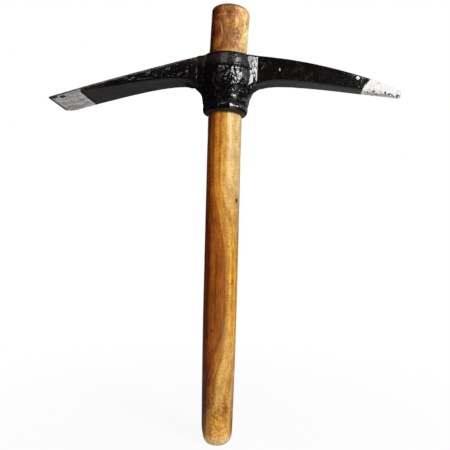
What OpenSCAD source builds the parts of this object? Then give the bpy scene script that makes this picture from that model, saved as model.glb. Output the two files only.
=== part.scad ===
// Small pick axe: a forged steel head with a chisel arm and a pick arm, on a wooden slip-fit handle.
// Z runs up the handle from the butt end, X runs along the head with the pick arm at +X.

/* [Handle] */
// Overall length of the handle
handle_len = 400; // [340:5:520]
// Diameter of the straight grip
grip_d = 31.2; // [29:0.2:36]
// Diameter at the rounded butt end
butt_d = 28.4; // [24:0.2:31]
// Radius of the rounded edge at the butt end
butt_round = 9.5; // [2:0.5:10]
// Height at which the taper of the butt end reaches the full grip
butt_taper_h = 150; // [60:5:180]
// Growth of the diameter from the grip to the neck, where the shaft enters the eye
neck_swell = 0.2; // [0:0.1:3]
// Length over which the grip widens to the neck
neck_len = 40; // [20:5:80]
// Length of handle that stands proud of the eye
proud_len = 44; // [20:0.5:80]
// Lean of the proud top end along +X in degrees
proud_lean = 2.6; // [0:0.1:4]
// Half angle of the flare of the proud top end in degrees
proud_flare = 0.4; // [0:0.1:2]
// Broken edge round the top end
top_break = 2.4; // [0.5:0.1:5]

/* [Seat] */
// Half angle of the tapered seat in degrees, which is also its lean along +X
seat_taper = 1.5; // [0.6:0.05:2.4]
// Shoulder where the seat starts, over the shaft
seat_step = 0.3; // [0.3:0.05:0.8]
// Height of that shoulder above the lower rim of the eye
seat_inset = 2; // [1:0.5:5]
// Gap between the seat and the eye
seat_gap = 0.2; // [0.1:0.05:0.4]

/* [Eye] */
// Height of the eye from rim to rim
eye_h = 53.5; // [46:0.5:70]
// Wall of the barrel round the top of the eye
eye_wall = 7.8; // [5:0.2:11]
// Wall at the lower rim
rim_wall = 3.9; // [3:0.1:5]
// Rounding of the lower rim
rim_round = 2.8; // [0.5:0.1:2.9]
// Height of the band at the lower rim
low_band_h = 6.5; // [3:0.5:10]
// Step out from the lower band to the foot of the flare
flare_step = 0.3; // [0.1:0.1:1.5]
// Height of the flare from its foot to the barrel
flare_h = 19.5; // [12:0.5:24]
// Height of the band at the top rim
top_band_h = 12.5; // [5:0.5:14]
// Rounding of the top rim
top_round = 2.6; // [0.5:0.1:4]
// Depth of the crease beside each band
crease = 0.5; // [0.3:0.1:1.2]

/* [Arms] */
// Width of both arms where they leave the eye
root_w = 24.6; // [18:0.2:30]
// Radius of the fillets between the sides of the arms and the eye
side_fillet = 9; // [5:0.5:12]
// Radius of the webs under the arms
web_r = 10; // [6:0.5:14]

/* [Chisel arm] */
// Reach of the cutting edge from the handle's axis
chisel_reach = 155.4; // [120:0.2:200]
// Depth of the chisel arm's back below the top rim, at the eye
chisel_sink = 2; // [0.8:0.1:3]
// Drop of the cutting edge below the top rim
chisel_drop = 46.5; // [30:0.5:60]
// Thickness of the chisel arm at its web
chisel_root_t = 23.4; // [17:0.2:24]
// Width of the cutting edge in front of the handle's axis
edge_front_w = 24.5; // [15:0.5:35]
// Width of the cutting edge behind the handle's axis
edge_rear_w = 30.5; // [18:0.5:35]
// Thickness left at the cutting edge
edge_t = 1.6; // [0.8:0.1:3]
// Rounding of the front corner of the edge
front_corner_r = 1.6; // [1:0.1:8]
// Rounding of the rear corner of the edge
rear_corner_r = 10; // [1:0.5:14]
// Rise of the bend in the chisel arm's back
chisel_back_rise = 1.6; // [0:0.2:8]
// Rise of the bend in the chisel arm's underside
chisel_belly_rise = 7.6; // [3:0.1:10]
// Draw-in of the chisel arm's front side
front_draw_in = 0.2; // [0:0.2:4]
// Draw-in of the chisel arm's rear side
rear_draw_in = 2; // [0:0.2:4]

/* [Pick arm] */
// Reach of the point from the handle's axis
pick_reach = 161.5; // [120:0.5:200]
// Depth of the pick arm's back below the top rim, at the eye
pick_sink = 0.3; // [0:0.1:3]
// Drop of the middle of the point below the top rim
pick_drop = 29.9; // [18:0.1:40]
// Thickness of the pick arm at its web
pick_root_t = 24.4; // [18:0.2:25]
// Width of the blunt point
point_w = 5.2; // [3:0.2:10]
// Height of the blunt point
point_t = 6.4; // [2:0.2:8]
// Rise of the bend in the pick arm's back
pick_back_rise = 10.2; // [4:0.2:14]
// Rise of the bend in the pick arm's underside
pick_belly_rise = 6.9; // [4:0.1:11]
// Swell of the pick arm's sides
pick_swell = 5.3; // [0:0.1:8]

/* [Hidden] */
$fn = 96;
arc_steps = 8;
curve_steps = 16;
// Overlap of pieces of one solid, and overrun of cuts
lap = 1;
// Depth of the foot of each web inside the flare
web_sink = 2;
// Ledge round the foot of the proud top end
proud_ledge = 0.1;
// Share of an arm's length at which each bend peaks
back_bend_at = 0.5;
belly_bend_at = 0.12;
side_bend_at = 0.54;
flare_bend_at = 0.6;

grip_r = grip_d / 2;
butt_r = butt_d / 2;
neck_r = grip_r + neck_swell / 2;

eye_top = handle_len - proud_len;
eye_low = eye_top - eye_h;
seat_z = eye_low + seat_inset;
seat_r = neck_r + seat_step;
seat_slope = tan(seat_taper);
seat_len = (eye_top - seat_z) / cos(seat_taper);
bore_low_r = seat_r + seat_gap - seat_inset * seat_slope;
bore_top_r = bore_low_r + eye_h * seat_slope;
// The arms are centred on the top of the leaning eye
eye_x = (eye_h - seat_inset) * seat_slope;
eye_r = bore_top_r + eye_wall;
rim_r = bore_low_r + rim_wall;
flare_foot_r = rim_r + flare_step;
flare_low = low_band_h + 2 * crease;
flare_top = flare_low + flare_h;
top_band_z = eye_h - top_band_h;

root_hw = root_w / 2;
chisel_back_z = eye_top - chisel_sink;
pick_back_z = eye_top - pick_sink;
chisel_web_z = chisel_back_z - chisel_root_t;
pick_web_z = pick_back_z - pick_root_t;
edge_z = eye_top - chisel_drop;
point_z = eye_top - pick_drop;
// Width that takes in both arms and the barrel
arms_w = 2 * max(edge_front_w, edge_rear_w, eye_r) + 2 * lap;

// Arc of points round a centre
function arc(centre, r, from, to) =
    [for (i = [0 : arc_steps]) let (a = from + (to - from) * i / arc_steps) centre + r * [cos(a), sin(a)]];

// Smooth curve from p to q, pulled towards c
function curve(p, c, q) =
    [for (i = [0 : curve_steps]) let (t = i / curve_steps)
        (1 - t) * (1 - t) * p + 2 * t * (1 - t) * c + t * t * q];

// Curve from p to q with its bend at a share of the way, raised over the straight line
function bowed(p, q, at, rise) = curve(p, p + at * (q - p) + [0, rise], q);

function reversed(points) = [for (i = [len(points) - 1 : -1 : 0]) points[i]];
function flipped_x(points) = [for (p = points) [-p[0], p[1]]];
function flipped_y(points) = [for (p = points) [p[0], -p[1]]];
function shifted_x(points, dx) = [for (p = points) [p[0] + dx, p[1]]];

// Radius of the flare at a height above the lower rim
function flare_radius(z) =
    flare_foot_r + (eye_r - flare_foot_r) * min(1, max(0, (z - flare_low) / flare_h));

// Fillet in plan from the side of a +X arm to the barrel, about the barrel's axis
fillet_y = root_hw + side_fillet;
fillet_x = sqrt(pow(eye_r + side_fillet, 2) - pow(fillet_y, 2));
function plan_fillet() = arc([fillet_x, fillet_y], side_fillet, 270, 180 + atan2(fillet_y, fillet_x));

// One side of the head in plan, from the point to the cutting edge
function plan_side(edge_hw, corner_r, draw_in) = concat(
    reversed(bowed([eye_x + fillet_x, root_hw], [pick_reach, point_w / 2], side_bend_at, pick_swell)),
    shifted_x(plan_fillet(), eye_x),
    reversed(shifted_x(flipped_x(plan_fillet()), eye_x)),
    bowed([eye_x - fillet_x, root_hw], [corner_r - chisel_reach, edge_hw], flare_bend_at, -draw_in),
    reversed(arc([corner_r - chisel_reach, edge_hw - corner_r], corner_r, 180, 90))
);

function plan_outline() = concat(
    plan_side(edge_rear_w, rear_corner_r, rear_draw_in),
    reversed(flipped_y(plan_side(edge_front_w, front_corner_r, front_draw_in)))
);

// Web from the underside of an arm down to the flare, for the side at +X of the barrel
function web(z) =
    let (foot_z = z - web_r)
    curve([eye_r + web_r, z], [eye_r, z], [flare_radius(foot_z - eye_low) - web_sink, foot_z]);

// The head's outline seen from the front, without the lower part of the eye
function front_outline() = concat(
    bowed([eye_x + eye_r, pick_back_z], [pick_reach, point_z + point_t / 2], back_bend_at, pick_back_rise),
    reversed(bowed([eye_x + eye_r + web_r, pick_web_z], [pick_reach, point_z - point_t / 2],
        belly_bend_at, pick_belly_rise)),
    shifted_x(web(pick_web_z), eye_x),
    reversed(shifted_x(flipped_x(web(chisel_web_z)), eye_x)),
    bowed([eye_x - eye_r - web_r, chisel_web_z], [-chisel_reach, edge_z - edge_t / 2],
        belly_bend_at, chisel_belly_rise),
    reversed(bowed([eye_x - eye_r, chisel_back_z], [-chisel_reach, edge_z + edge_t / 2],
        back_bend_at, chisel_back_rise))
);

// Both arms, as the shape that fills the front outline and the plan outline at once
module arms() {
    intersection() {
        rotate([90, 0, 0]) linear_extrude(arms_w, center = true) polygon(front_outline());
        linear_extrude(eye_top + lap) polygon(plan_outline());
    }
}

// Places a piece on the foot of the leaning seat
module on_seat() {
    translate([0, 0, seat_z]) rotate([0, seat_taper, 0]) children();
}

// The barrel of the eye with its flare, two bands and rounded rims
module barrel() {
    on_seat() translate([0, 0, -seat_inset]) rotate_extrude() polygon(concat(
        [[0, 0]],
        arc([rim_r - rim_round, rim_round], rim_round, 270, 360),
        [[rim_r, low_band_h], [rim_r - crease, low_band_h + crease], [flare_foot_r, flare_low],
            [eye_r, flare_top], [eye_r, top_band_z - 2 * crease],
            [eye_r - crease, top_band_z - crease], [eye_r, top_band_z]],
        arc([eye_r - top_round, eye_h - top_round], top_round, 0, 90),
        [[0, eye_h]]
    ));
}

// The seat's cone, grown by a gap and run on past both of its ends
module seat_cone(gap, run_on) {
    low_r = seat_r + gap - run_on * seat_slope;
    h = seat_len + 2 * run_on;
    on_seat() translate([0, 0, -run_on]) cylinder(h = h, r1 = low_r, r2 = low_r + h * seat_slope);
}

// One forging: the eye, the chisel arm and the pick arm
module head() {
    color("#1b1a1c") difference() {
        union() {
            arms();
            barrel();
        }
        seat_cone(seat_gap, seat_inset + lap);
    }
}

// One length of wood: rounded butt, grip, neck, the leaning seat in the eye, and the proud top end
module handle() {
    proud_r = seat_r + seat_len * seat_slope - proud_ledge;
    top_r = proud_r + proud_len * tan(proud_flare);
    color("#b9783a") union() {
        rotate_extrude() polygon(concat(
            [[0, 0]],
            arc([butt_r - butt_round, butt_round], butt_round, 270, 360),
            curve([butt_r, butt_round], [grip_r, butt_taper_h / 2], [grip_r, butt_taper_h]),
            [[grip_r, seat_z - neck_len], [neck_r, seat_z], [neck_r, seat_z + lap], [0, seat_z + lap]]
        ));
        seat_cone(0, 0);
        translate([eye_x, 0, eye_top]) rotate([0, proud_lean, 0]) rotate_extrude() polygon([
            [0, -lap], [proud_r, -lap], [proud_r, 0], [top_r, proud_len - top_break],
            [top_r - top_break, proud_len], [0, proud_len]
        ]);
    }
}

head();
handle();
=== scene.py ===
import math
from collections import namedtuple

import bpy
from mathutils import Matrix, Vector


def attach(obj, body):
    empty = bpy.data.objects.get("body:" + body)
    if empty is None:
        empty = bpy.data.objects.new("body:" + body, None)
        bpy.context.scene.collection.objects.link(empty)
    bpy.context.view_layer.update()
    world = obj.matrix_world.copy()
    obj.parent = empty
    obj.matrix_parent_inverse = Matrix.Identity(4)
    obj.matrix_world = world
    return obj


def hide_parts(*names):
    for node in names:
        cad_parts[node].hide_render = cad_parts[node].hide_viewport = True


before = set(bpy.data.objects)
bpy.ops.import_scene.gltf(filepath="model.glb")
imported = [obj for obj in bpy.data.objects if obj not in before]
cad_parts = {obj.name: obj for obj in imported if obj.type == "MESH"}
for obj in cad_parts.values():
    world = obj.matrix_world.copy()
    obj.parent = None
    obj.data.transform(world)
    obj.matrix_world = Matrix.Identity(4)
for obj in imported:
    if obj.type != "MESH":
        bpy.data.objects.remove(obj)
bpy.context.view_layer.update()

# One millimetre in metres
MM = 0.001


class Wire:
    """One socket of a node tree. Sums written with wires become Math nodes."""

    def __init__(self, tree, socket=None):
        self.tree = tree
        self.socket = socket

    def node(self, kind, settings=None, inputs=None, out=0):
        """Any node: its type, settings, the values or links of its sockets, and the output to go on with."""
        made = self.tree.nodes.new(kind)
        for name, value in (settings or {}).items():
            if name == "stops":
                set_stops(made.color_ramp, value)
            else:
                setattr(made, name, value)
        for name, value in (inputs or {}).items():
            if isinstance(value, Wire):
                self.tree.links.new(value.socket, made.inputs[name])
            else:
                made.inputs[name].default_value = value
        return Wire(self.tree, made.outputs[out] if len(made.outputs) else None)

    def side(self, name):
        """Another output of the same node."""
        return Wire(self.tree, self.socket.node.outputs[name])

    def math(self, operation, *values):
        return self.node("ShaderNodeMath", {"operation": operation}, dict(enumerate(values)))

    def __add__(self, other):
        return self.math("ADD", self, other)

    def __sub__(self, other):
        return self.math("SUBTRACT", self, other)

    def __rsub__(self, other):
        return self.math("SUBTRACT", other, self)

    def __mul__(self, other):
        return self.math("MULTIPLY", self, other)

    def __truediv__(self, other):
        return self.math("DIVIDE", self, other)

    def __pow__(self, other):
        return self.math("POWER", self, other)

    def __neg__(self):
        return self.math("MULTIPLY", self, -1)

    __radd__ = __add__
    __rmul__ = __mul__

    def root(self):
        return self.math("SQRT", self)

    def size(self):
        return self.math("ABSOLUTE", self)

    def sine(self):
        return self.math("SINE", self)

    def cosine(self):
        return self.math("COSINE", self)

    def least(self, other):
        return self.math("MINIMUM", self, other)

    def most(self, other):
        return self.math("MAXIMUM", self, other)

    def clamp(self):
        return self.most(0.0).least(1.0)

    def bell(self, middle, width):
        """1 at the middle, falling softly to both sides."""
        off = (self - middle) / width
        return off.math("EXPONENT", -(off * off))

    def ease(self, low, high, to_low=0.0, to_high=1.0):
        """A soft step as the value goes from low to high. It falls where low is the greater one."""
        return self.node("ShaderNodeMapRange", {"interpolation_type": "SMOOTHSTEP"}, {
            "Value": self, "From Min": low, "From Max": high, "To Min": to_low, "To Max": to_high})

    def within(self, start, full, fading, end):
        """1 from full to fading, falling softly to 0 at start and at end."""
        return self.ease(start, full) * self.ease(end, fading)

    def parts(self):
        """The X, Y and Z of a vector."""
        split = self.node("ShaderNodeSeparateXYZ", None, {0: self})
        return split, split.side("Y"), split.side("Z")

    def vector(self, x, y, z):
        return self.node("ShaderNodeCombineXYZ", None, {0: x, 1: y, 2: z})

    def noise(self, scale, detail, rough):
        """Noise read at a vector. Its value is about 0.5 on average."""
        return self.node("ShaderNodeTexNoise", None,
                         {"Vector": self, "Scale": scale, "Detail": detail, "Roughness": rough})

    def ramp(self, stops):
        """A colour read from a row of stops at this value."""
        return self.node("ShaderNodeValToRGB", {"stops": stops}, {"Fac": self})

    def mix(self, low, high, blend="MIX"):
        """A colour between two, with this wire as the share of the second."""
        made = self.node("ShaderNodeMix", {"data_type": "RGBA", "blend_type": blend}, {0: self})
        for number, value in ((6, low), (7, high)):
            target = made.socket.node.inputs[number]
            if isinstance(value, Wire):
                self.tree.links.new(value.socket, target)
            else:
                target.default_value = colour(value)
        return Wire(self.tree, made.socket.node.outputs[2])


def set_stops(ramp, stops):
    """Places a colour ramp's stops, given as place and colour."""
    while len(ramp.elements) < len(stops):
        ramp.elements.new(0.5)
    for element, (place, value) in zip(ramp.elements, stops):
        element.position = place
        element.color = colour(value)


def colour(value):
    return (*value, 1.0)


def round_and(one, other, radius):
    """Where both shapes are, with the edge between them rounded to a radius."""
    corner = ((one + radius).most(0) ** 2 + (other + radius).most(0) ** 2).root()
    return one.most(other).least(-radius) + corner


def round_or(one, other, radius):
    """Where either shape is, with a fillet of a radius between them."""
    corner = ((radius - one).most(0) ** 2 + (radius - other).most(0) ** 2).root()
    return one.least(other).most(radius) - corner


def new_tree(name):
    tree = bpy.data.node_groups.new(name, "GeometryNodeTree")
    tree.interface.new_socket("Geometry", in_out="OUTPUT", socket_type="NodeSocketGeometry")
    return tree


def sizes_in(tree, **sizes):
    """Named inputs of a tree: the wires to read them by, and each socket's identifier with its value."""
    inputs = {}
    for name, value in sizes.items():
        socket = tree.interface.new_socket(name, in_out="INPUT", socket_type="NodeSocketFloat")
        inputs[socket.identifier] = value
    group = tree.nodes.new("NodeGroupInput")
    return {name: Wire(tree, group.outputs[name]) for name in sizes}, inputs


def finish_piece(tree, geometry, name, material, inputs):
    """Ends a tree in Realize Instances and Set Material, and turns its result into a plain mesh object."""
    real = geometry.node("GeometryNodeRealizeInstances", None, {0: geometry})
    smooth = real.node("GeometryNodeSetShadeSmooth", None, {"Geometry": real, "Shade Smooth": True})
    dressed = smooth.node("GeometryNodeSetMaterial", None, {"Geometry": smooth, "Material": material})
    dressed.node("NodeGroupOutput", None, {0: dressed})
    piece = bpy.data.objects.new(name, bpy.data.meshes.new(name))
    bpy.context.scene.collection.objects.link(piece)
    modifier = piece.modifiers.new("shape", "NODES")
    modifier.node_group = tree
    for identifier, value in inputs.items():
        modifier[identifier] = value
    graph = bpy.context.evaluated_depsgraph_get()
    mesh = bpy.data.meshes.new_from_object(piece.evaluated_get(graph), depsgraph=graph)
    piece.modifiers.clear()
    piece.data = mesh
    mesh.name = name
    return piece


def in_millimetres(place):
    """The X, Y and Z of a place, in millimetres."""
    return place.node("ShaderNodeVectorMath", {"operation": "SCALE"}, {0: place, "Scale": 1 / MM}).parts()


# Sizes of the handle, in millimetres
HANDLE_LEN = 400.0
GRIP_R = 15.6
BUTT_R = 14.2
BUTT_ROUND = 9.5
BUTT_TAPER_H = 150.0
NECK_R = 15.7
NECK_LEN = 40.0
PROUD_LEN = 44.0
PROUD_LEAN = math.radians(2.6)
PROUD_FLARE = math.radians(0.4)
PROUD_LEDGE = 0.1
TOP_BREAK = 2.4
TOP_SINK = 0.1

# Sizes of the eye and of the seat in it
EYE_H = 53.5
EYE_TOP = HANDLE_LEN - PROUD_LEN
SEAT_INSET = 2.0
SEAT_Z = EYE_TOP - EYE_H + SEAT_INSET
SEAT_R = 16.0
SEAT_GAP = 0.2
SEAT_TAPER = math.radians(1.5)
SEAT_SLOPE = math.tan(SEAT_TAPER)
BORE_LOW_R = SEAT_R + SEAT_GAP - SEAT_INSET * SEAT_SLOPE
EYE_X = (EYE_H - SEAT_INSET) * SEAT_SLOPE
EYE_WALL = 7.8
EYE_R = BORE_LOW_R + EYE_H * SEAT_SLOPE + EYE_WALL
RIM_WALL = 3.9
RIM_R = BORE_LOW_R + RIM_WALL
RIM_ROUND = 2.6
RING_Z = 5.6
RING_HALF_H = 5.0
RING_SWELL = 0.5
RING_FALL = 1.5
RING_FLAT = math.radians(25)
FLARE_STEP = 0.3
FLARE_FOOT_R = RIM_R + FLARE_STEP
FLARE_LOW = 7.5
FLARE_H = 19.5
TOP_BAND_H = 12.5
TOP_BAND_Z = EYE_H - TOP_BAND_H
TOP_BAND_TAPER = 2.0
BORE_ROUND = 0.8

# Creases round the eye: height, half width and depth
LOW_CREASE = (7.8, 0.9, 0.5)
TOP_CREASE = (TOP_BAND_Z - 0.5, 1.0, 0.8)

# Sizes of both arms where they leave the eye
ROOT_HW = 12.3
SIDE_FILLET = 9.0
FILLET_X = math.sqrt((EYE_R + SIDE_FILLET) ** 2 - (ROOT_HW + SIDE_FILLET) ** 2)
WEB_R = 10.0
UNDER_FILLET = 13.5
BACK_BEND_AT = 0.5
BELLY_BEND_AT = 0.12
FLARE_BEND_AT = 0.6
FACET_X = 20.4
FACET_LAP = 3.0
FACET_DROP = 6.5
FACET_SLANT = 0.6
FACET_SLANT_COS = 0.857
FACET_LEAN = math.radians(21.5)
FACET_ROUND = 1.5
ROOT_ROUND = 1.5

# Sizes of the chisel arm
CHISEL_REACH = 155.4
CHISEL_SINK = 2.0
CHISEL_ROOT_T = 23.4
CHISEL_DROP = 46.5
CHISEL_BACK_Z = EYE_TOP - CHISEL_SINK
CHISEL_WEB_Z = CHISEL_BACK_Z - CHISEL_ROOT_T
CHISEL_BACK_RISE = 1.6
CHISEL_BELLY_RISE = 7.6
CHISEL_THIN_LEN = 90.0
EDGE_Z = EYE_TOP - CHISEL_DROP
EDGE_HALF = 0.8
EDGE_FRONT_W = 24.5
EDGE_REAR_W = 30.5
FRONT_CORNER_R = 1.6
REAR_CORNER_R = 10.0
FRONT_DRAW_IN = 0.2
REAR_DRAW_IN = 2.0
BIT_X = -127.0
BIT_SKEW = 0.03

# Sizes of the pick arm and of its ground point, where the paint ends in a slant
PICK_REACH = 161.5
PICK_SINK = 0.3
PICK_ROOT_T = 24.4
PICK_DROP = 29.9
PICK_BACK_Z = EYE_TOP - PICK_SINK
PICK_WEB_Z = PICK_BACK_Z - PICK_ROOT_T
PICK_BACK_RISE = 10.2
PICK_BELLY_RISE = 6.9
PICK_SWELL = 0.9
PICK_THIN_LEN = 60.0
PICK_THIN_PAST = 4.0
POINT_Z = EYE_TOP - PICK_DROP
POINT_HALF = 3.2
POINT_CORNER_R = 0.4
TIP_ROOT_X = 128.0
TIP_ROOT_HW = 7.5
TIP_GRIND = 0.16
TIP_X = 129.4
TIP_Z = 332.5
TIP_SLANT = math.radians(36)
TIP_SKEW = 0.2

ArmLines = namedtuple("ArmLines", "back belly front_hw rear_hw")


def bowed(x, start, end, at, rise):
    """Height of a bowed line over x, from start to end, with its bend at a share of the way."""
    share = ((x - start[0]) / (end[0] - start[0])).clamp()
    if at == 0.5:
        way = share
    else:
        way = ((share * (1 - 2 * at) + at * at).root() - at) / (1 - 2 * at)
    return share * (end[1] - start[1]) + start[1] + way * (1 - way) * (2 * rise)


def eye_axes(x, z):
    """Places across the leaning eye and along it, from its lower rim."""
    across = x * math.cos(SEAT_TAPER) - (z - SEAT_Z) * math.sin(SEAT_TAPER)
    along = x * math.sin(SEAT_TAPER) + (z - SEAT_Z) * math.cos(SEAT_TAPER) + SEAT_INSET
    return across, along


def either(x, chisel, pick):
    """One value on the chisel's side of the eye, another on the pick's side."""
    return chisel + (pick - chisel) * x.math("GREATER_THAN", x, EYE_X)


def point_tip(x, y, z):
    """How far a place lies inside the ground pick point, in millimetres."""
    return (x - TIP_X - y * TIP_SKEW) * math.cos(TIP_SLANT) - (z - TIP_Z) * math.sin(TIP_SLANT)


def bare_ends(x, y, z):
    """How far a place lies inside the bare bit or point, in millimetres. Under 0 it is painted."""
    return (BIT_X - x + y * BIT_SKEW).most(point_tip(x, y, z))


def arm_lines(x, y, z):
    """The arms at a place along x: back, belly, and half widths at the front and the rear."""
    back = either(
        x,
        bowed(x, (EYE_X - EYE_R, CHISEL_BACK_Z), (-CHISEL_REACH, EDGE_Z + EDGE_HALF),
              BACK_BEND_AT, CHISEL_BACK_RISE),
        bowed(x, (EYE_X + EYE_R, PICK_BACK_Z), (PICK_REACH, POINT_Z + POINT_HALF),
              BACK_BEND_AT, PICK_BACK_RISE))
    belly = either(
        x,
        bowed(x, (EYE_X - EYE_R - WEB_R, CHISEL_WEB_Z), (-CHISEL_REACH, EDGE_Z - EDGE_HALF),
              BELLY_BEND_AT, CHISEL_BELLY_RISE),
        bowed(x, (EYE_X + EYE_R + WEB_R, PICK_WEB_Z), (PICK_REACH, POINT_Z - POINT_HALF),
              BELLY_BEND_AT, PICK_BELLY_RISE))
    pick_hw = bowed(x, (EYE_X + FILLET_X, ROOT_HW), (TIP_ROOT_X, TIP_ROOT_HW), BACK_BEND_AT, PICK_SWELL)
    pick_hw = pick_hw - point_tip(x, y, z).most(0) * TIP_GRIND

    def half_width(corner_r, edge_w, draw_in):
        chisel_hw = bowed(x, (EYE_X - FILLET_X, ROOT_HW), (corner_r - CHISEL_REACH, edge_w),
                          FLARE_BEND_AT, -draw_in)
        return either(x, chisel_hw, pick_hw)

    return ArmLines(back, belly,
                    half_width(FRONT_CORNER_R, EDGE_FRONT_W, FRONT_DRAW_IN),
                    half_width(REAR_CORNER_R, EDGE_REAR_W, REAR_DRAW_IN))


def eye_barrel(across, y, along):
    """The barrel of the eye without its top rim: a beaded ring, the flare, two creases and the top band."""
    flare = (along - FLARE_LOW) * ((EYE_R - FLARE_FOOT_R) / FLARE_H) + FLARE_FOOT_R
    beside = across * math.cos(RING_FLAT) + y * math.sin(RING_FLAT)
    worn_flat = (RING_SWELL - beside * beside / (2 * RIM_R)).most(0) * y.ease(0, -4)
    ring = RIM_R + RING_SWELL - worn_flat - ((along - RING_Z) / RING_HALF_H) ** 2 * RING_FALL
    wall = flare.math("SMOOTH_MIN", flare.math("SMOOTH_MAX", flare, ring, 0.6), EYE_R, 1.6)
    for place, half_width, depth in (LOW_CREASE, TOP_CREASE):
        wall = wall - (1 - ((along - place) / half_width).size().clamp()) * depth
    wall = wall - ((along - TOP_BAND_Z) / (EYE_H - TOP_BAND_Z)).clamp() * TOP_BAND_TAPER
    radius = (across * across + y * y).root()
    return round_and(radius - wall, -along, RIM_ROUND)


def root_facet(across, y, z, belly):
    """The narrow flat at each arm's root, which ends in a slant under the belly."""
    touch_y = math.sqrt(EYE_R ** 2 - FACET_X ** 2)
    reach = FACET_X * math.sin(FACET_LEAN) + touch_y * math.cos(FACET_LEAN)
    face = across.size() * math.sin(FACET_LEAN) + y.size() * math.cos(FACET_LEAN) - reach
    inner_x = FACET_X - FACET_LAP
    low = (belly - FACET_DROP + (across.size() - inner_x) * FACET_SLANT - z) * FACET_SLANT_COS
    return round_and(face.most(inner_x - across.size()), low, FACET_ROUND)


def make_head(material):
    """The forging: both arms flow into the barrel of the eye, with rounded edges and hammered faces."""
    tree = new_tree("forged_head")
    size, inputs = sizes_in(tree, hammering=1.1, pitting=0.5, paint_step=0.12, edge_round=2.0)
    here = Wire(tree).node("GeometryNodeInputPosition")
    x, y, z = in_millimetres(here)
    across, along = eye_axes(x, z)
    arm = arm_lines(x, y, z)
    barrel = eye_barrel(across, y, along)

    # Both arms, filleted to the barrel, rounded less towards their thin ends and along the chisel's back
    stout = ((x + CHISEL_REACH) / CHISEL_THIN_LEN).least((PICK_REACH + PICK_THIN_PAST - x) / PICK_THIN_LEN)
    soft = size["edge_round"] * (stout.clamp() * 0.85 + 0.12)
    end = (x - PICK_REACH).most(-CHISEL_REACH - x)
    front = round_and(-y - arm.front_hw, end, either(x, FRONT_CORNER_R, POINT_CORNER_R))
    rear = round_and(y - arm.rear_hw, end, either(x, REAR_CORNER_R, POINT_CORNER_R))
    arms = round_and(front.most(rear), round_or(arm.belly - z, barrel, UNDER_FILLET), soft)
    body = round_or(arms, barrel, ROOT_ROUND).least(root_facet(across, y, z, arm.belly))
    body = round_and(body, z - arm.back, soft * either(x, 0.4, 1.0))
    body = body.least(round_and(barrel, along - EYE_H, RIM_ROUND))

    # Hammered relief under the paint, which stands a little above the bare ends
    hammered = (here.noise(75.0, 2.0, 0.55) - 0.4).most(0) * size["hammering"]
    pitted = (here.noise(210.0, 2.0, 0.6) - 0.4).most(0) * size["pitting"]
    rugged = 1 - (x - EYE_X).size().ease(24, 46) * 0.6 - x.ease(50, 90) * 0.25
    relief = (hammered + pitted) * rugged * along.ease(6.5, 9.5, 0.1, 1.0)
    painted = 1 - bare_ends(x, y, z).ease(-0.25, 0.25)
    body = body + (relief - size["paint_step"]) * painted + size["paint_step"]

    # The tapered hole for the handle
    radius = (across * across + y * y).root()
    body = round_and(body, along * SEAT_SLOPE + BORE_LOW_R - radius, BORE_ROUND)

    # The skin of that shape, from a block of cells that takes in the whole head
    blur, cell = 5.0, 0.7
    low, high = (-158.0, -28.5, 299.5), (164.0, 33.5, 359.5)
    cells = [math.ceil((far - near) / cell) for near, far in zip(low, high)]
    volume = body.node("GeometryNodeVolumeCube", None, {
        "Density": (0.5 - body / blur).clamp(), "Background": 0.0,
        "Min": [v * MM for v in low], "Max": [v * MM for v in high],
        "Resolution X": cells[0], "Resolution Y": cells[1], "Resolution Z": cells[2]})
    skin = volume.node("GeometryNodeVolumeToMesh", None, {"Volume": volume, "Threshold": 0.5})
    return finish_piece(tree, skin, "forged_head", material, inputs)


def handle_radius(z, east, size):
    """Radius of the handle at a height. The butt is rounder on the left, the top edge on the right."""
    foot = (z / size["butt_round"]).clamp()
    butt = BUTT_R - size["butt_round"] * (1 - (foot * (2 - foot)).root())
    shoulder = z.bell(7.5, 5) * (0.65 - east * 0.4)
    taper = (1 - ((z - BUTT_ROUND) / (BUTT_TAPER_H - BUTT_ROUND)).clamp()) ** 2
    grip = (1 - taper) * (GRIP_R - BUTT_R)
    neck = ((z - (SEAT_Z - NECK_LEN)) / NECK_LEN).clamp() * (NECK_R - GRIP_R)
    step = z.ease(SEAT_Z, SEAT_Z + 0.6) * (SEAT_R - NECK_R)
    seat = ((z - SEAT_Z) / (EYE_TOP - SEAT_Z)).clamp() * (EYE_X - PROUD_LEDGE)
    proud = (z - EYE_TOP).most(0) * math.tan(PROUD_FLARE)
    broken = size["top_break"] * (1 + east.most(0))
    head_room = ((HANDLE_LEN - z) / broken).clamp()
    corner = broken * (1 - (head_room * (2 - head_room)).root())
    return butt - shoulder + grip + neck + step + seat + proud - corner


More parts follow.
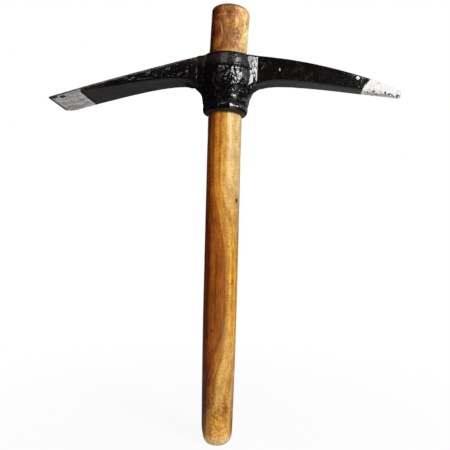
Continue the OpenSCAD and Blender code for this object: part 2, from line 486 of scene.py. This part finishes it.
def make_handle(material):
    """The handle: rings of points round its axis, placed by one rule from the butt to the top end."""
    tree = new_tree("turned_handle")
    size, inputs = sizes_in(tree, unevenness=0.3, butt_round=BUTT_ROUND, top_break=TOP_BREAK)
    rings, spokes = 560, 96
    grid = Wire(tree).node("GeometryNodeMeshGrid", None, {
        "Size X": 1.0, "Size Y": 1.0, "Vertices X": spokes + 1, "Vertices Y": rings + 1})
    u, v, _ = grid.side("UV Map").parts()
    east, north = (u * math.tau).cosine(), (u * math.tau).sine()

    # The rings crowd towards both ends, and the first and last ones close the flat ends
    cap, crown, crowding = 4 / rings, 12 / rings, 0.95
    share = ((v - cap) / (1 - cap - crown)).clamp()
    z = (share - (share * math.tau).sine() * (crowding / math.tau)) * (HANDLE_LEN - TOP_SINK)
    closing = (v / cap).clamp() * ((1 - v) / crown).clamp()

    inside = z.ease(SEAT_Z - 3, SEAT_Z) * (1 - z.ease(EYE_TOP, EYE_TOP + 6))
    lumps = grid.vector(east * 0.9, north * 0.9, z * 0.022).noise(1.6, 3.0, 0.55)
    uneven = (lumps - 0.75).least(0) * size["unevenness"] * (1 - inside)
    radius = (handle_radius(z, east, size) + uneven) * closing

    # The axis leans in the seat, and more in the proud top end
    lean = ((z - SEAT_Z) / (EYE_TOP - SEAT_Z)).clamp() * SEAT_TAPER
    lean = lean + z.ease(EYE_TOP, EYE_TOP + 3) * (PROUD_LEAN - SEAT_TAPER)
    shift = (z - SEAT_Z).most(0).least(EYE_TOP - SEAT_Z) * SEAT_SLOPE
    shift = shift + (z - EYE_TOP).most(0) * math.tan(PROUD_LEAN)
    across = radius * east
    place = grid.vector((across + shift) * MM, radius * north * MM, (z - across * lean.sine()) * MM)
    rolled = grid.node("GeometryNodeSetPosition", None, {"Geometry": grid, "Position": place})
    closed = rolled.node("GeometryNodeMergeByDistance", None, {"Geometry": rolled, "Distance": 0.00001})
    return finish_piece(tree, closed, "turned_handle", material, inputs)


def new_material(name):
    """An empty material, and a wire to start from."""
    material = bpy.data.materials.new(name)
    material.use_nodes = True
    material.node_tree.nodes.clear()
    return material, Wire(material.node_tree)


def finish_material(start, height, strength, depth, **sockets):
    """Ends a material in its shader, with a bump of a depth in metres."""
    bump = start.node("ShaderNodeBump", None, {"Strength": strength, "Distance": depth, "Height": height})
    shader = start.node("ShaderNodeBsdfPrincipled", None, {
        name.replace("_", " "): value for name, value in {**sockets, "Normal": bump}.items()})
    start.node("ShaderNodeOutputMaterial", None, {"Surface": shader})


def spot(here, middle, width, height):
    """A soft mark on the surface, 1 at its middle and 0 outside."""
    x, y, z = here
    across = ((x - middle[0]) ** 2 + (y - middle[1]) ** 2) / (width * width)
    return (1 - (across + ((z - middle[2]) / height) ** 2)).clamp()


def ground_steel(here, arm, edge, fine, worn):
    """Colour of the bare ends: the bit with a bright lip at the paint, the point with its underside painted
    lighter as painted light, dark sides (the rear one painted shade) and nicks.
    """
    x, y, z = here
    bit = worn.ease(0.43, 0.57).mix((0.47, 0.445, 0.435), (1.0, 0.97, 0.95))
    point = worn.ease(0.42, 0.6).mix((0.53, 0.515, 0.51), (0.605, 0.59, 0.585))
    # Painted light: the point's underside is given a lighter steel than its front
    point_underside_painted_light = worn.ease(0.42, 0.6).mix((0.80, 0.775, 0.765), (1.0, 0.975, 0.965))
    steel = x.ease(-20, 20).mix(bit, (z - arm.belly).ease(1.1, 0.4).mix(point, point_underside_painted_light))
    lip = edge.within(0.0, 0.5, 1.0, 2.4) * x.ease(0, -20)
    steel = (lip * 0.9).mix(steel, (1.0, 0.97, 0.96))

    stains = sum(spot(here, *stain) for stain in (
        ((-150.9, -23.0, 311.0), 4.2, 3.3),
        ((-144.2, -20.0, 311.6), 3.7, 3.0),
        ((146.5, -4.6, 326.2), 1.1, 1.8),
        ((158.2, -2.9, 324.6), 1.4, 1.6),
    ))
    nicks = (z - arm.belly).bell(1.2, 1.1) * x.ease(127, 134) + x.ease(157, 161) * 0.9
    bit_front = (-y - arm.front_hw).ease(-1.1, -0.4) * x.ease(-122, -127)
    # Painted shade: a dark line along the bit's rear edge
    bit_rear_painted_shade = (y - arm.rear_hw).ease(-1.6, -0.4)
    smear = (x - y * 0.06 + (fine - 0.5) * 3).bell(-133.5, 0.9) * y.within(-16, -10, 2, 10)
    dark = (stains + (fine - 0.5) * 1.2).ease(0.16, 0.32)
    for mark in (
        nicks * fine.ease(0.44, 0.53),
        bit_front * (0.72 + (arm.back - z).ease(1.9, 1.2) * 0.25),
        bit_rear_painted_shade * 0.45,
        x.ease(-151.6, -153.8) * 0.85,
        smear * 0.35,
    ):
        dark = dark.most(mark)
    return dark.mix(steel, (0.03, 0.027, 0.026))


def black_paint():
    """Thick glossy paint over the hammered forging, with bare ground steel at both ends."""
    material, start = new_material("black_paint_on_forging")
    place = start.node("ShaderNodeTexCoord", out="Object")
    here = in_millimetres(place)
    x, y, z = here
    arm = arm_lines(x, y, z)
    _, up = eye_axes(x, z)
    side = (x - EYE_X).size()
    band = up.ease(TOP_BAND_Z, TOP_BAND_Z + 2)
    fine = place.noise(220.0, 3.0, 0.6)
    grit = place.noise(620.0, 3.0, 0.6)
    cloud = place.noise(95.0, 4.0, 0.65)

    # Where the paint ends or has chipped off
    edge = bare_ends(x, y, z) + (fine - 0.5) * 1.8
    chips = spot(here, (48.7, -11.8, 343.4), 0.75, 2.3) + spot(here, (120.4, -8.0, 338.6), 2.0, 1.8)
    bare = edge.ease(-0.2, 0.2).most((chips + (fine - 0.5) * 0.9).ease(0.25, 0.5))

    # Scratched steel
    scratch_a = start.vector(x * 0.9 + y * 0.5, (y - x * 0.5) * 0.06, z * 0.5).noise(1.9, 3.0, 0.6)
    scratch_b = start.vector(x * 0.08 + y * 0.02, y * 1.1 - x * 0.3, z * 0.5).noise(1.6, 3.0, 0.6)
    scratches = scratch_a.ease(0.62, 0.72).most(scratch_b.ease(0.63, 0.73))
    steel = ground_steel(here, arm, edge, fine, cloud * 0.45 + grit * 0.55 + scratches * 0.25)

    # The paint, browner by the bit and on the left of the top band, with a worn film on the pick arm
    warm = x.bell(-118, 9) * 0.8 + up.bell(47, 4) * x.ease(8, -14) * 0.9
    paint = warm.mix((0.0036, 0.0026, 0.0024), (0.022, 0.013, 0.0105))
    film = place.noise(230.0, 4.0, 0.7).ease(0.5, 0.66) * x.ease(26, 32) * (0.9 - x.ease(50, 110) * 0.5)
    paint = film.mix(paint, (0.019, 0.0155, 0.0145))

    # Gloss: duller on the top band, along the arms' backs, on the top rim and beside the bit
    dull_back = (arm.back - z).ease(3.0, 1.5) * (-y - arm.front_hw).ease(-0.6, -2.6)
    dull = dull_back.most(up.ease(EYE_H - 1.4, EYE_H - 0.5)) * 0.55
    dull = dull + band * side.ease(26, 20) * 0.2 + edge.ease(-3.5, -2.0) * x.ease(0, -20) * 0.4
    rough = bare * x.ease(-20, 20, 0.3, 0.5) + dull * (1 - bare) + 0.11 + (cloud - 0.5) * 0.12

    # Lumps in the paint, lower along the arms and on the eye's bands and the pick arm's facet
    rugged = 1 - side.ease(17, 29) * 0.6
    for near, far, loss in ((27, 56, 0.15), (40, 80, 0.12), (-26, -40, 0.06), (-60, -115, 0.3)):
        rugged = rugged - x.ease(near, far) * loss
    calm = (band * side.ease(22, 19) * 0.45).most(up.ease(9, 6) * 0.95)
    calm = calm.most(x.within(18.5, 20.5, 28, 30) * 0.2)
    crinkle = place.noise(270.0, 1.5, 0.5) * 1.8 + place.noise(750.0, 2.0, 0.5) * 0.2
    groove = up.bell(TOP_BAND_Z - 0.5, 0.7) * side.ease(24, 18) * 1.2
    lumps = (crinkle * (1 - calm) - groove) * rugged * (1 - bare)
    lumps = lumps + (scratches * 0.05 + grit * 0.1) * bare * x.ease(-20, 20, 1.0, 0.35)
    finish_material(start, lumps, 1.0, 0.0006,
                    Base_Color=bare.mix(paint, steel), Metallic=bare * 0.2, Roughness=rough)
    return material


# Colours of the wood from dark to pale, and the knot
SAPWOOD = (
    (0.26, (0.46, 0.165, 0.016)), (0.42, (0.60, 0.275, 0.036)),
    (0.56, (0.69, 0.355, 0.058)), (0.74, (0.78, 0.48, 0.12)))
HEARTWOOD = (
    (0.26, (0.25, 0.068, 0.005)), (0.44, (0.41, 0.125, 0.010)),
    (0.58, (0.52, 0.180, 0.017)), (0.76, (0.64, 0.280, 0.040)))
SCUFFED_WOOD = (
    (0.34, (0.15, 0.045, 0.010)), (0.47, (0.31, 0.112, 0.030)),
    (0.58, (0.45, 0.195, 0.060)), (0.72, (0.74, 0.47, 0.2)))
BROWN_MARK = (0.24, 0.07, 0.006)
HOLLOW_MARK = (0.075, 0.026, 0.007)
KNOT = (12.6, -9.3, 224.0)
# Direction along the surface at the knot
PAST_KNOT = (0.594, 0.805)

Grain = namedtuple("Grain", "across deep slow fibre threads late border")


def wood_grain(start, here):
    """The grain: it runs along the handle, bends with the heartwood and parts round the knot."""
    x, y, z = here
    beside = (x - KNOT[0]) * PAST_KNOT[0] + (y - KNOT[1]) * PAST_KNOT[1]
    parted = beside * beside.bell(0, 6.5) * z.bell(KNOT[2], 17) * 0.7
    border = z.within(44, 112, 165, 255) * 20 - 13
    across = x - parted * PAST_KNOT[0] - border * 0.7
    deep = y - parted * PAST_KNOT[1]
    slow = start.vector(across * 0.13, deep * 0.13, z * 0.007).noise(1.0, 3.0, 0.55)
    fibre = start.vector(across, deep, z * 0.013).noise(0.42, 4.0, 0.6)
    threads = start.vector(across, deep, z * 0.03).noise(1.5, 3.0, 0.62)
    from_pith = ((across + 4) ** 2 + (deep - 14) ** 2).root()
    rings = (from_pith + (slow - 0.5) * 7) / 3.1
    ring = rings.math("FRACT", rings)
    late = ring.ease(0.3, 0.9) * (1 - ring.ease(0.93, 1.0))
    return Grain(across, deep, slow, fibre, threads, late, border)


def grip_wood(here, grain):
    """Colour of the grip: sapwood on the right, red heartwood on the left, paler up on the right."""
    x, _, z = here
    fibre, threads, slow = grain.fibre - 0.5, grain.threads - 0.5, grain.slow - 0.5
    tone = (fibre * 1.2 + threads * 0.7) * z.ease(12, 70, 0.5, 1.0) + slow * 0.6 - grain.late * 0.14 + 0.55
    sap = (x.ease(-3, 12) * z.ease(190, 255) * 0.7).mix(tone.ramp(SAPWOOD), (0.68, 0.51, 0.24))
    heart = 1 - (grain.across - grain.border * 0.3 + fibre * 11 + threads * 5 + slow * 6).ease(-5.0, 5.0)
    return heart.mix(sap, tone.ramp(HEARTWOOD))


def scuffed_wood(start, here, blotch, threads):
    """Colour of the bare top end: mottled, veined and scuffed, with a long scratch and a cut."""
    x, y, z = here
    front = y.ease(0, -5)
    mottle = (blotch - 0.5) * 1.4 + threads * 0.4 + 0.27 + x.ease(3, 17) * 0.14
    patch = start.vector(x, y, z * 0.7).noise(0.42, 3.0, 0.6).ease(0.52, 0.6) * x.ease(2, 10)
    scratch = (x + (z - 373) * 0.15).bell(-4.0, 0.55) * z.within(371, 374, 382, 386) * front
    waver = start.vector(x, y, z).noise(0.5, 2.0, 0.5) - 0.5
    cut = (z + waver * 2).bell(390.2, 0.6) * x.within(-10.5, -8.0, -2.0, 0.5) * front
    vein = 1 - (start.vector(x, y, z * 0.6).noise(0.3, 4.0, 0.65) - 0.5).size().ease(0.0, 0.03)
    scuffs = start.vector(x + z * 0.12, y, z * 0.16).noise(1.1, 3.0, 0.6).ease(0.6, 0.68)
    wood = mottle.ramp(SCUFFED_WOOD)
    for share, tint in (
        (patch * 0.7, (0.78, 0.46, 0.14)),
        (scratch * 0.85, (0.84, 0.6, 0.42)),
        (cut * 0.6, (0.74, 0.46, 0.24)),
        (spot(here, (3.0, -17.2, 371.0), 2.6, 5.0) * 0.7, (0.2, 0.12, 0.05)),
        (vein * 0.8, (0.13, 0.038, 0.01)),
        (scuffs * 0.6, (0.84, 0.54, 0.26)),
    ):
        wood = share.mix(wood, tint)
    return wood


def worn_butt(start, here, wood, butt, ends):
    """The wood with its paler butt, and the dark flecks and marks just above it."""
    x, y, z = here
    wood = (butt * 0.75).mix(wood, ends.ease(0.38, 0.6).mix((0.72, 0.37, 0.085), (1.0, 0.63, 0.22)))
    wood = (z.ease(13, 5) * 0.75).mix(wood, ends.ease(0.36, 0.44).mix((0.4, 0.2, 0.07), (1.0, 0.84, 0.56)))
    slanting = start.vector(x * 0.9 + z * 0.42, y * 0.9, z * 0.5 - x * 0.35)
    fleck = slanting.noise(0.3, 3.0, 0.6).ease(0.51, 0.6)
    marks = start.vector(x * 0.12, y * 0.12, z * 0.8).noise(1.0, 2.0, 0.5).ease(0.52, 0.66)
    flecked = (fleck * z.bell(36, 22) * 0.72).most(marks * z.bell(14, 8) * 0.3)
    return flecked.mix(wood, (0.24, 0.075, 0.008))


def stains_and_painted_light(start, here, wood, grain, top):
    """The wood with stains, paler and darker places, painted shade, painted shadows and painted light that
    follow the handle's sides and heights.
    """
    x, y, z = here
    below = 1 - top
    middle = z.within(75, 110, 165, 215)
    mottled = start.vector(grain.across * 0.2, grain.deep * 0.2, z * 0.07).noise(1.0, 4.0, 0.65)
    dashes = start.vector(x * 0.5, y * 0.5, z * 1.1).noise(0.8, 3.0, 0.6)
    tints = {
        # Painted shade: the grip's left side, turned away from the key lamp, is darkened and reddened, most
        # at its edge
        "painted red shade on the left side": (x.ease(3, -15) * z.ease(14, 45), (0.85, 0.45, 0.26)),
        "painted shade on the left edge": (x.ease(-8, -15) * z.ease(14, 45), (0.5, 0.44, 0.25)),
        # Painted shade: the upper right side darkened against the right-hand lamps
        "painted shade on the right side": (x.ease(8, 16) * z.ease(255, 205), (0.72, 0.72, 0.78)),
        # Painted shadow: the neck darkened on the left just under the eye
        "painted shadow under the eye on the left": (x.ease(-6, -13) * z.ease(262, 298) * below, (0.55, 0.4, 0.2)),
        # Painted shade: the top end darkened along its left edge
        "top end, painted shade on the left edge": (x.ease(-10, -15) * top, (0.3, 0.22, 0.16)),
        "top end, left": (x.ease(-2, -8) * top, (1.26, 1.17, 0.63)),
        "top end, middle": (x.within(-6, 0, 8, 13) * top, (1.02, 0.9, 0.68)),
        "top end, right": (x.ease(8, 13) * top, (1.1, 1.22, 1.2)),
        "top end, right edge": (x.ease(14.5, 18) * z.ease(392, 378) * top, (1.1, 1.5, 2.0)),
        "brown middle of the grip": (middle * x.within(-9, 0, 3, 8), (0.8, 0.72, 0.8)),
        "golden right of the grip": (middle * x.ease(-6, 2), (1.0, 1.0, 0.62)),
        "darker line on the right": (z.within(76, 104, 150, 180) * x.bell(6.5, 4.5), (0.9, 0.83, 0.82)),
        "right side above the butt": (z.within(16, 34, 45, 60) * x.ease(2, 9), (0.97, 0.94, 0.86)),
        "left side above the butt": (z.bell(60, 12) * x.ease(3, -3), (0.76, 0.62, 0.42)),
        "darker spot on the left": (z.bell(140, 16) * x.bell(-6.5, 4), (0.8, 0.72, 0.56)),
        "paler left of the high grip": (z.ease(205, 225) * x.ease(5, -1) * below, (1.17, 1.14, 1.0)),
        # Painted light: the left of the butt lightened
        "painted light on the left of the butt": (z.ease(32, 20) * x.ease(12, -4), (1.25, 1.17, 0.95)),
        # Painted shadow: a dark line down the butt's left edge
        "butt, painted shadow on the left edge": (x.ease(-8.6, -12.4) * z.within(3, 10, 40, 70), (0.36, 0.27, 0.16)),
        "butt, right edge": (x.ease(10.6, 13.2) * z.bell(19, 8), (0.45, 0.36, 0.25)),
        "bright right edge": (z.within(80, 100, 165, 185) * x.ease(9, 13), (1.3, 1.33, 1.4)),
        "dark middle": (z.within(86, 104, 118, 136) * x.bell(0, 4.5), (0.84, 0.8, 0.66)),
        "dark low left": (z.within(20, 40, 112, 136) * x.ease(-2, -12), (0.88, 0.76, 0.55)),
        "mottling": (mottled.ease(0.35, 0.65) * below, (0.74, 0.68, 0.55)),
        "dark dashes": (dashes.ease(0.5, 0.68) * below, (0.7, 0.62, 0.48)),
        "pale dashes": (dashes.ease(0.47, 0.34) * below, (1.16, 1.17, 1.14)),
    }
    for share, tint in tints.values():
        wood = share.mix(wood, tint, "MULTIPLY")
    # A painted highlight: a pale streak down the lower grip where varnish would catch a lamp
    painted_highlight_streak = (x + z.ease(58, 40) * 6 + (grain.threads - 0.5) * 5).bell(6.2, 2.9) * z.within(30, 46, 96, 132)
    return (painted_highlight_streak * 0.29).mix(wood, (0.80, 0.50, 0.20))


def sawn_top(here, wood, grain):
    """The wood with a dark rim and growth rings on the sawn top."""
    x, _, z = here
    level = z + (x - 3.4) * 0.045
    wood = (level.ease(396.9, 397.7) * 0.8).mix(wood, (0.14, 0.06, 0.022))
    rings = (grain.late * 0.8 + grain.threads * 0.3).mix((0.52, 0.3, 0.12), (0.25, 0.11, 0.03))
    return (level.ease(398.9, 399.5) * 0.8).mix(wood, rings)


def varnished_wood():
    """Honey brown varnished wood, pale on the right and red on the left, partly heartwood and partly painted
    shade, with a knot and dark pores.
    """
    material, start = new_material("varnished_wood")
    here = in_millimetres(start.node("ShaderNodeTexCoord", out="Object"))
    x, y, z = here
    grain = wood_grain(start, here)
    top = z.ease(EYE_TOP, EYE_TOP + 5)
    butt = 1 - z.ease(4.0, 30.0)
    blotch = start.vector(x * 0.1, y * 0.1, z * 0.07).noise(1.5, 4.0, 0.65)
    ends = start.vector(x, y, z * 0.8).noise(0.8, 3.0, 0.6)
    wood = (top * 0.9).mix(grip_wood(here, grain), scuffed_wood(start, here, blotch, grain.threads))
    wood = worn_butt(start, here, wood, butt, ends)
    wood = stains_and_painted_light(start, here, wood, grain, top)
    wood = sawn_top(here, wood, grain)

    # Pores, the knot and three small marks
    pores = start.vector(grain.across, grain.deep, z * 0.16).noise(1.2, 2.0, 0.6).ease(0.62, 0.72)
    wood = (pores * 0.55).mix(wood, (0.2, 0.06, 0.008))
    pith = spot(here, KNOT, 2.0, 2.6)
    wood = (spot(here, KNOT, 5.5, 9.0) * 0.5).mix(wood, (0.36, 0.13, 0.02))
    wood = (pith + (grain.threads - 0.5) * 0.5).ease(0.15, 0.5).mix(wood, (0.015, 0.008, 0.004))
    for middle, width, height, share, tint in (
        ((10.8, -11.2, 150.2), 2.2, 3.2, 0.75, BROWN_MARK),
        ((-2.4, -15.4, 187.0), 1.8, 3.4, 0.55, BROWN_MARK),
        ((1.9, -16.8, 391.6), 1.5, 2.2, 0.9, HOLLOW_MARK),
    ):
        wood = (spot(here, middle, width, height).ease(0.0, 0.6) * share).mix(wood, tint)

    # Varnish, worn off at both ends
    rough = 0.27 + grain.fibre * 0.16 + top * 0.2 + butt * 0.25 + pores * 0.15
    coat = (1 - top * 0.8) * (1 - butt * 0.9) * 0.15
    height = grain.fibre * 0.5 + grain.threads * 0.35 - pores * 0.35 - pith * 1.2
    height = height + blotch * top * 1.6 + ends * butt * 0.5
    finish_material(start, height, 0.5, 0.0005, Base_Color=wood, Roughness=rough, Coat_Weight=coat,
                    Coat_Roughness=0.18, Specular_IOR_Level=0.25)
    return material


def surroundings(scene):
    """A studio that is white to the camera. Glossy paint sees it dim, with a wall and card on the right."""
    world = bpy.data.worlds.new("white_studio")
    scene.world = world
    world.use_nodes = True
    world.node_tree.nodes.clear()
    start = Wire(world.node_tree)
    path = start.node("ShaderNodeLightPath", out="Is Camera Ray")
    seen = path.most(path.side("Is Transmission Ray"))
    gloss = path.side("Is Glossy Ray")
    side, back, up = start.node("ShaderNodeTexCoord", out="Generated").parts()
    wall = (side * 0.9 + back * 0.25).ease(0.1, 1.0)
    card = side.bell(0.86, 0.16) * back.bell(0.5, 0.22) * up.bell(0.05, 0.3)
    ambient = 0.08
    mirrored = wall * 0.4 + card * 0.68 + 0.02
    level = ambient + gloss * (mirrored - ambient)
    strength = level + (1 - level) * seen
    light = start.node("ShaderNodeBackground", None, {"Color": (1, 1, 1, 1), "Strength": strength})
    start.node("ShaderNodeOutputWorld", None, {"Surface": light})


def pale_floor(scene):
    """A plain pale floor with a faint shadow by the butt. Glossy paint sees it dark outside its lit part."""
    material, start = new_material("pale_floor")
    path = start.node("ShaderNodeLightPath", out="Is Camera Ray")
    east, north, _ = start.node("ShaderNodeTexCoord", out="Object").parts()
    away = (east * east + north * north).root()
    shown = path.most(path.side("Is Transmission Ray")) * away.ease(0.03, 0.45, 0.92, 1.0)
    near = (1 - away.ease(0.4, 0.85)) * east.ease(-0.35, 0.1, 0.3, 0.7)
    lit = near.most(north.ease(0.1, 0.5) * east.ease(-0.4, 0.4, 0.1, 0.55))
    dimmed = path.side("Is Glossy Ray") * (1 - lit)
    plain = start.node("ShaderNodeBsdfDiffuse", None, {"Color": (0.82, 0.82, 0.82, 1)})
    dark = start.node("ShaderNodeBsdfDiffuse", None, {"Color": (0.03, 0.03, 0.03, 1)})
    white = start.node("ShaderNodeEmission", None, {"Color": (1, 1, 1, 1), "Strength": 1.0})
    matt = start.node("ShaderNodeMixShader", None, {0: dimmed, 1: plain, 2: dark})
    both = start.node("ShaderNodeMixShader", None, {0: shown, 1: matt, 2: white})
    start.node("ShaderNodeOutputMaterial", None, {"Surface": both})

    reach = 30.0
    mesh = bpy.data.meshes.new("floor")
    corners = [(-reach, -reach, 0), (reach, -reach, 0), (reach, reach, 0), (-reach, reach, 0)]
    mesh.from_pydata(corners, [], [(0, 1, 2, 3)])
    mesh.materials.append(material)
    floor = bpy.data.objects.new("floor", mesh)
    scene.collection.objects.link(floor)


def lamps(scene):
    """A soft key from the right, strips for glints on the paint, and weaker fills, in metres and watts."""
    for name, place, aim_z, width, height, power in (
        ("key_lamp", (0.655, -0.70, 0.60), 0.30, 0.34, 0.42, 9.4),
        ("low_strip", (0.62, -0.66, 0.13), 0.20, 0.16, 0.26, 0.5),
        ("side_strip", (1.05, -0.09, 0.62), 0.30, 0.20, 0.45, 0.9),
        ("front_fill", (-0.22, -0.92, 0.92), 0.34, 0.42, 0.50, 2.0),
        ("left_strip", (-0.55, -0.82, 0.50), 0.30, 0.08, 0.60, 0.15),
        ("back_fill", (-0.10, 1.10, 0.75), 0.25, 0.60, 0.60, 5.0),
    ):
        data = bpy.data.lights.new(name, "AREA")
        data.shape = "RECTANGLE"
        data.size, data.size_y, data.energy = width, height, power
        lamp = bpy.data.objects.new(name, data)
        scene.collection.objects.link(lamp)
        lamp.location = place
        lamp.rotation_euler = (Vector((0, 0, aim_z)) - Vector(place)).to_track_quat("-Z", "Y").to_euler()


def photo_camera(scene):
    """The photo's view: level, close, straight at the middle of the tool, and rolled a little."""
    data = bpy.data.cameras.new("photo_camera")
    data.sensor_width = 36.0
    data.lens = 40.0
    camera = bpy.data.objects.new("photo_camera", data)
    scene.collection.objects.link(camera)
    level = Matrix.Rotation(math.radians(90), 4, "X")
    roll = Matrix.Rotation(math.radians(1.47), 4, "Z")
    camera.matrix_world = Matrix.Translation((0.00274, -0.46296, 0.20166)) @ (level @ roll)
    scene.camera = camera


scene = bpy.context.scene
scene.view_settings.view_transform = "Standard"
photo_camera(scene)
surroundings(scene)
pale_floor(scene)
lamps(scene)
for piece, body, slot in (
    (make_head(black_paint()), "head", "black_paint"),
    (make_handle(varnished_wood()), "handle", "varnished_wood"),
):
    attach(piece, body)
    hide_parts(body)

bpy.context.view_layer.update()
